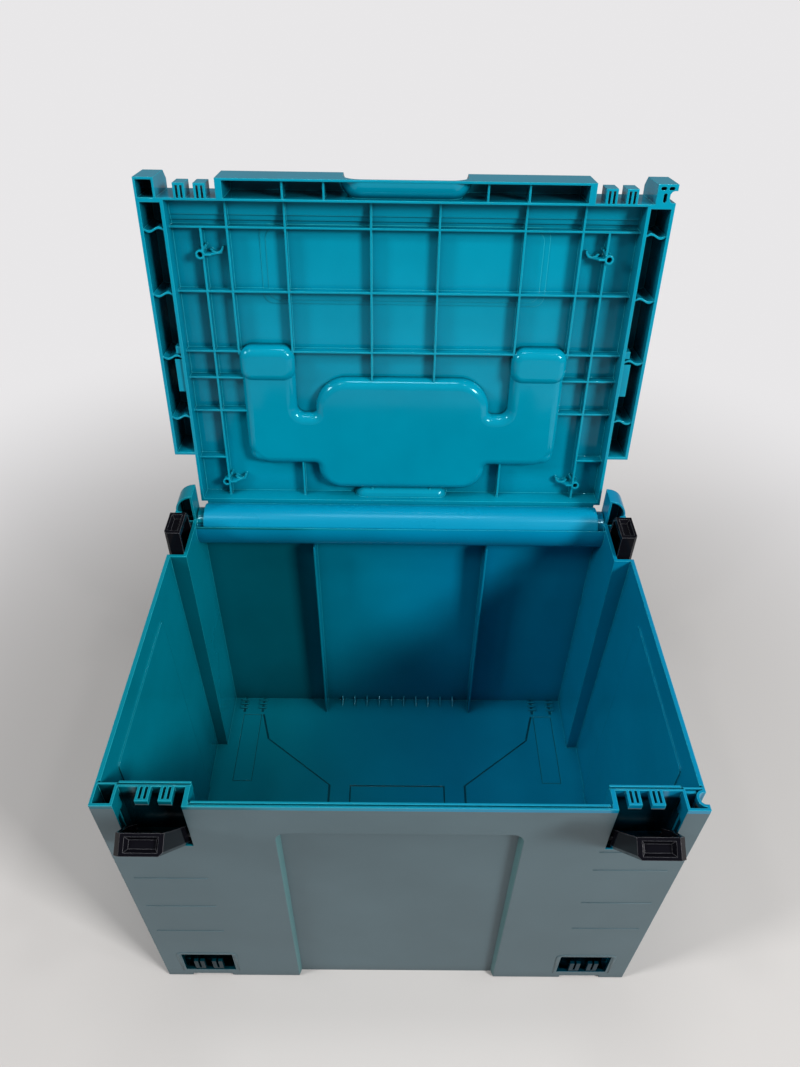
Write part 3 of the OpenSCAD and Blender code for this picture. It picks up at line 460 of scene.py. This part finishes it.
def moulded_lid():
    finish, tree, bsdf, where = new_finish("lid_polypropylene")
    rounded = soft_edges(tree, radius=0.0007)
    # painted shade: the cells of the side rails are darkened deeper than the rest of the lid
    in_rail = above(tree, combine(tree, "ABSOLUTE", split(tree, where)[0], 0), rail_x)
    darkest = combine(tree, "SUBTRACT", 0.40, combine(tree, "MULTIPLY", in_rail, 0.14))
    cloud = smudges(tree, where, size=11.0, low=0.0, high=1.0)
    patchy = blend_colour(tree, cloud, lid_colour, lid_patch)
    body = shade_depths(tree, patchy, darkest)

    # the hinge roll is left a little duller by the trough that it turns in, and painted bluer as a colour
    # cast of the light on it
    from_axis = add_node(tree, "ShaderNodeVectorMath", operation="SUBTRACT", in_1=(0.0, hinge_y, hinge_z))
    tree.links.new(where, from_axis.inputs[0])
    off_axis = add_node(tree, "ShaderNodeVectorMath", operation="MULTIPLY", in_1=(0.0, 1.0, 1.0))
    tree.links.new(from_axis.outputs[0], off_axis.inputs[0])
    radius = add_node(tree, "ShaderNodeVectorMath", operation="LENGTH")
    tree.links.new(off_axis.outputs[0], radius.inputs[0])
    on_roll = below(tree, radius.outputs["Value"], roll_radius)
    body = tint(tree, body, lid_roll_light_cast, on_roll, share=0.6)

    # painted highlight: the corners of the lid are painted bright where they catch the light
    lit = tint(tree, body, shell_edge_highlight, edge_share(tree, rounded), share=0.7)
    tree.links.new(lit, bsdf.inputs["Base Color"])
    rubbed = combine(tree, "MULTIPLY", on_roll, 0.2)
    rough = combine(tree, "ADD", rubbed, smudges(tree, where, size=18.0, low=0.07, high=0.13))
    tree.links.new(rough, bsdf.inputs["Roughness"])
    bsdf.inputs["IOR"].default_value = 1.46
    bsdf.inputs["Specular Tint"].default_value = (0.4, 0.85, 1.0, 1)
    wave = noise(tree, where, size=9.0, detail=0.0)
    swell = raise_relief(tree, wave, rounded, distance=0.0006, strength=0.2)
    tree.links.new(swell, bsdf.inputs["Normal"])
    return finish


lid_finish = moulded_lid()
dress("lid_shell", lid_finish)

# Handle well.
# The underside of the well that the handle folds into, part of the lid moulding, drawn with the
# full round of its edges and the fillets in its inner corners; the two humps cover the handle pins.
# Outlines in millimetres on the closed lid: across, back from the front, and corner radius.
well_plan = [
    (73.0, 261.5, 20.0), (73.0, 236.7, -4.6), (133.7, 236.7, 18.5), (133.7, 131.6, 8.0),
    (91.3, 131.6, 8.0), (91.3, 191.3, -8.0), (73.0, 191.3, -5.0), (73.0, 158.5, 26.0),
]
hump_plan = [(133.9, 130.6, 9.0), (91.1, 130.6, 9.0), (91.1, 158.0, 9.0), (133.9, 158.0, 9.0)]
panel_level, into_panel = 295.0, 0.6
well_bottom, well_rounding, well_grow = 283.7, 8.0, 1.2
hump_bottom, hump_rounding, hump_grow = 281.4, 7.0, 1.4
corner_steps = 10
lid_open = radians(98)
open_lid = (
    Matrix.Translation((0, hinge_y, hinge_z)) @ Matrix.Rotation(-lid_open, 4, "X")
    @ Matrix.Translation((0, -hinge_y, -hinge_z)) @ Matrix.Translation((0, box_front_y, 0))
)


def round_outline(plan, grow):
    """Closed outline with a fillet at each corner; a negative radius marks an inner corner."""
    points = []
    count = len(plan)
    for place in range(count):
        before, here, after = (Vector(plan[(place + k) % count][:2]) for k in (-1, 0, 1))
        radius = plan[place][2]
        into, out = (here - before).normalized(), (after - here).normalized()
        turn = into.x * out.y - into.y * out.x
        outward = (Vector((-into.y, into.x)) + Vector((-out.y, out.x))) * grow
        corner = here + outward
        size = radius + grow if radius > 0 else -radius - grow
        start, end = corner - into * size, corner + out * size
        middle = start + Vector((into.y, -into.x)) * size * (1 if turn < 0 else -1)
        for k in range(corner_steps + 1):
            share = k / corner_steps * pi / 2
            points.append(middle + (start - middle) * cos(share) + (end - middle) * sin(share))
    return points


def soft_block(name, plan, bottom, rounding, grow):
    """Block under the lid panel with a quarter round along its lower edge."""
    block = bmesh.new()
    rings = [(panel_level + into_panel, grow)]
    for degrees in range(0, 91, 10):
        angle = radians(degrees)
        rings.append((bottom + rounding * (1 - sin(angle)), grow - rounding * (1 - cos(angle))))
    loops = []
    for level, inset in rings:
        outline = round_outline(plan, inset)
        loops.append([block.verts.new((p.x / 1000, p.y / 1000, level / 1000)) for p in outline])
    join_rings(block, loops)
    bmesh.ops.remove_doubles(block, verts=block.verts, dist=1e-6)
    bmesh.ops.transform(block, matrix=open_lid, verts=block.verts)
    mesh = close_block(block, name)
    # only the round sides are smooth: each flat end is one face with many corners
    for face in mesh.polygons:
        face.use_smooth = len(face.vertices) <= 4
    return mesh


def mirrored(plan):
    return [(-x, y, r) for x, y, r in reversed(plan)]


for name, plan, bottom, rounding, grow in (
    ("handle_well_skin", well_plan + mirrored(well_plan), well_bottom, well_rounding, well_grow),
    ("handle_hump_right", hump_plan, hump_bottom, hump_rounding, hump_grow),
    ("handle_hump_left", mirrored(hump_plan), hump_bottom, hump_rounding, hump_grow),
):
    cover = new_piece(name, soft_block(name, plan, bottom, rounding, grow), lid_finish)
    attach(cover, "lid")

# Latches.
# Hollow glossy black mouldings, each turning on a pin that slides in the box.
# Handling leaves them faintly scuffed; their corners are painted a lighter grey as a painted highlight.
latch_body = (0.004, 0.004, 0.006, 1)
latch_edge_highlight = (0.22, 0.22, 0.24, 1)


def latch_black():
    finish, tree, bsdf, where = new_finish("latch_gloss_black")
    rounded = soft_edges(tree, radius=0.0004)
    lit_corners = tint(tree, latch_body, latch_edge_highlight, edge_share(tree, rounded), share=0.8)
    tree.links.new(lit_corners, bsdf.inputs["Base Color"])
    tree.links.new(smudges(tree, where, size=90.0, low=0.05, high=0.12), bsdf.inputs["Roughness"])
    bsdf.inputs["IOR"].default_value = 1.12
    scuffs = noise(tree, where, size=260.0, detail=4.0)
    relief = raise_relief(tree, scuffs, rounded, distance=0.00003, strength=0.3)
    tree.links.new(relief, bsdf.inputs["Normal"])
    return finish


latch_finish = latch_black()
for latch in ("latch_front_left", "latch_front_right", "latch_side_left", "latch_side_right"):
    dress(latch, latch_finish)

# Handle.
# A stout black moulding with a fine matt grain where the hand goes round it.
# It turns on two pins in the lid and folds flat into the well.
handle_body = (0.018, 0.018, 0.02, 1)


def handle_black():
    finish, tree, bsdf, where = new_finish("handle_satin_black")
    bsdf.inputs["Base Color"].default_value = handle_body
    tree.links.new(smudges(tree, where, size=30.0, low=0.42, high=0.58), bsdf.inputs["Roughness"])
    grain = noise(tree, where, size=900.0, detail=2.0)
    relief = raise_relief(tree, grain, soft_edges(tree, radius=0.0015), distance=0.00006)
    tree.links.new(relief, bsdf.inputs["Normal"])
    return finish


dress("carry_handle", handle_black())

# Pins.
# Drawn steel rods cut to length, bright with uneven dull patches. The hinge pins sit in the box
# and the handle pins in the lid; the latch pins slide in grooves of the pocket walls.
steel_colour = (0.56, 0.56, 0.58, 1)


def drawn_steel():
    finish, tree, bsdf, where = new_finish("drawn_steel")
    bsdf.inputs["Base Color"].default_value = steel_colour
    bsdf.inputs["Metallic"].default_value = 1.0
    tree.links.new(smudges(tree, where, size=400.0, low=0.25, high=0.42), bsdf.inputs["Roughness"])
    return finish


steel = drawn_steel()
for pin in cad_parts:
    if "pin" in pin.split("_"):
        dress(pin, steel)

# Floor and lights.
# A plain pale floor that keeps the shadow of the case, lit by three soft panels and two small
# lamps for the glints. Away from the case the floor fades to a backdrop that only the camera sees.
floor_half = 8.0
floor_colour = (0.56, 0.54, 0.525, 1)
backdrop_colour = (0.81, 0.80, 0.81, 1)
sky_colour = (0.18, 0.184, 0.19, 1)
backdrop_from, backdrop_to = 0.33, 1.05

floor_bm = bmesh.new()
bmesh.ops.create_grid(floor_bm, x_segments=1, y_segments=1, size=floor_half)
floor_mesh = bpy.data.meshes.new("studio_floor")
floor_bm.to_mesh(floor_mesh)
floor_bm.free()
studio_floor = bpy.data.objects.new("studio_floor", floor_mesh)
bpy.context.collection.objects.link(studio_floor)

pale, pale_tree, pale_bsdf, floor_place = new_finish("pale_floor")
pale_bsdf.inputs["Base Color"].default_value = floor_colour
pale_bsdf.inputs["Roughness"].default_value = 0.6
reach = add_node(pale_tree, "ShaderNodeVectorMath", operation="LENGTH")
pale_tree.links.new(floor_place, reach.inputs[0])
fade = add_node(pale_tree, "ShaderNodeMapRange", interpolation_type="SMOOTHSTEP")
fade.inputs["From Min"].default_value = backdrop_from
fade.inputs["From Max"].default_value = backdrop_to
pale_tree.links.new(reach.outputs["Value"], fade.inputs["Value"])
seen = add_node(pale_tree, "ShaderNodeLightPath").outputs["Is Camera Ray"]
glow = add_node(pale_tree, "ShaderNodeEmission", in_Color=backdrop_colour, in_Strength=1.0)
floor_mix = add_node(pale_tree, "ShaderNodeMixShader")
pale_tree.links.new(combine(pale_tree, "MULTIPLY", seen, fade.outputs[0]), floor_mix.inputs[0])
pale_tree.links.new(pale_bsdf.outputs[0], floor_mix.inputs[1])
pale_tree.links.new(glow.outputs[0], floor_mix.inputs[2])
pale_tree.links.new(floor_mix.outputs[0], pale_tree.nodes["Material Output"].inputs["Surface"])
floor_mesh.materials.append(pale)


def soft_lamp(name, place, aim, size, power):
    lamp = bpy.data.lights.new(name, "AREA")
    lamp.shape = "RECTANGLE"
    lamp.size, lamp.size_y = size
    lamp.energy = power
    holder = bpy.data.objects.new(name, lamp)
    holder.location = place
    holder.rotation_euler = (Vector(aim) - Vector(place)).to_track_quat("-Z", "Y").to_euler()
    bpy.context.collection.objects.link(holder)


soft_lamp("key_panel", place=(1.75, -1.35, 1.62), aim=(0.0, 0.1, 0.35), size=(0.6, 0.6), power=66)
soft_lamp("left_panel", place=(-2.0, -0.75, 1.8), aim=(0.0, 0.0, 0.25), size=(0.5, 0.5), power=30)
soft_lamp("ceiling_strip", place=(0.0, 0.05, 1.55), aim=(0.0, 0.05, 0.3), size=(0.45, 0.15), power=3)
for side, name in ((-1, "glint_left"), (1, "glint_right")):
    place, aim = (0.5 * side, -0.35, 1.5), (0.1 * side, 0.1, 0.3)
    soft_lamp(name, place, aim, size=(0.1, 0.1), power=1.6)

world = bpy.data.worlds.new("studio_world")
bpy.context.scene.world = world
world.use_nodes = True
sky_tree = world.node_tree
sky = sky_tree.nodes["Background"]
sky_seen = add_node(sky_tree, "ShaderNodeLightPath").outputs["Is Camera Ray"]
sky_tree.links.new(blend_colour(sky_tree, sky_seen, sky_colour, backdrop_colour), sky.inputs["Color"])
sky.inputs["Strength"].default_value = 1.0

bpy.context.scene.view_settings.view_transform = "Standard"
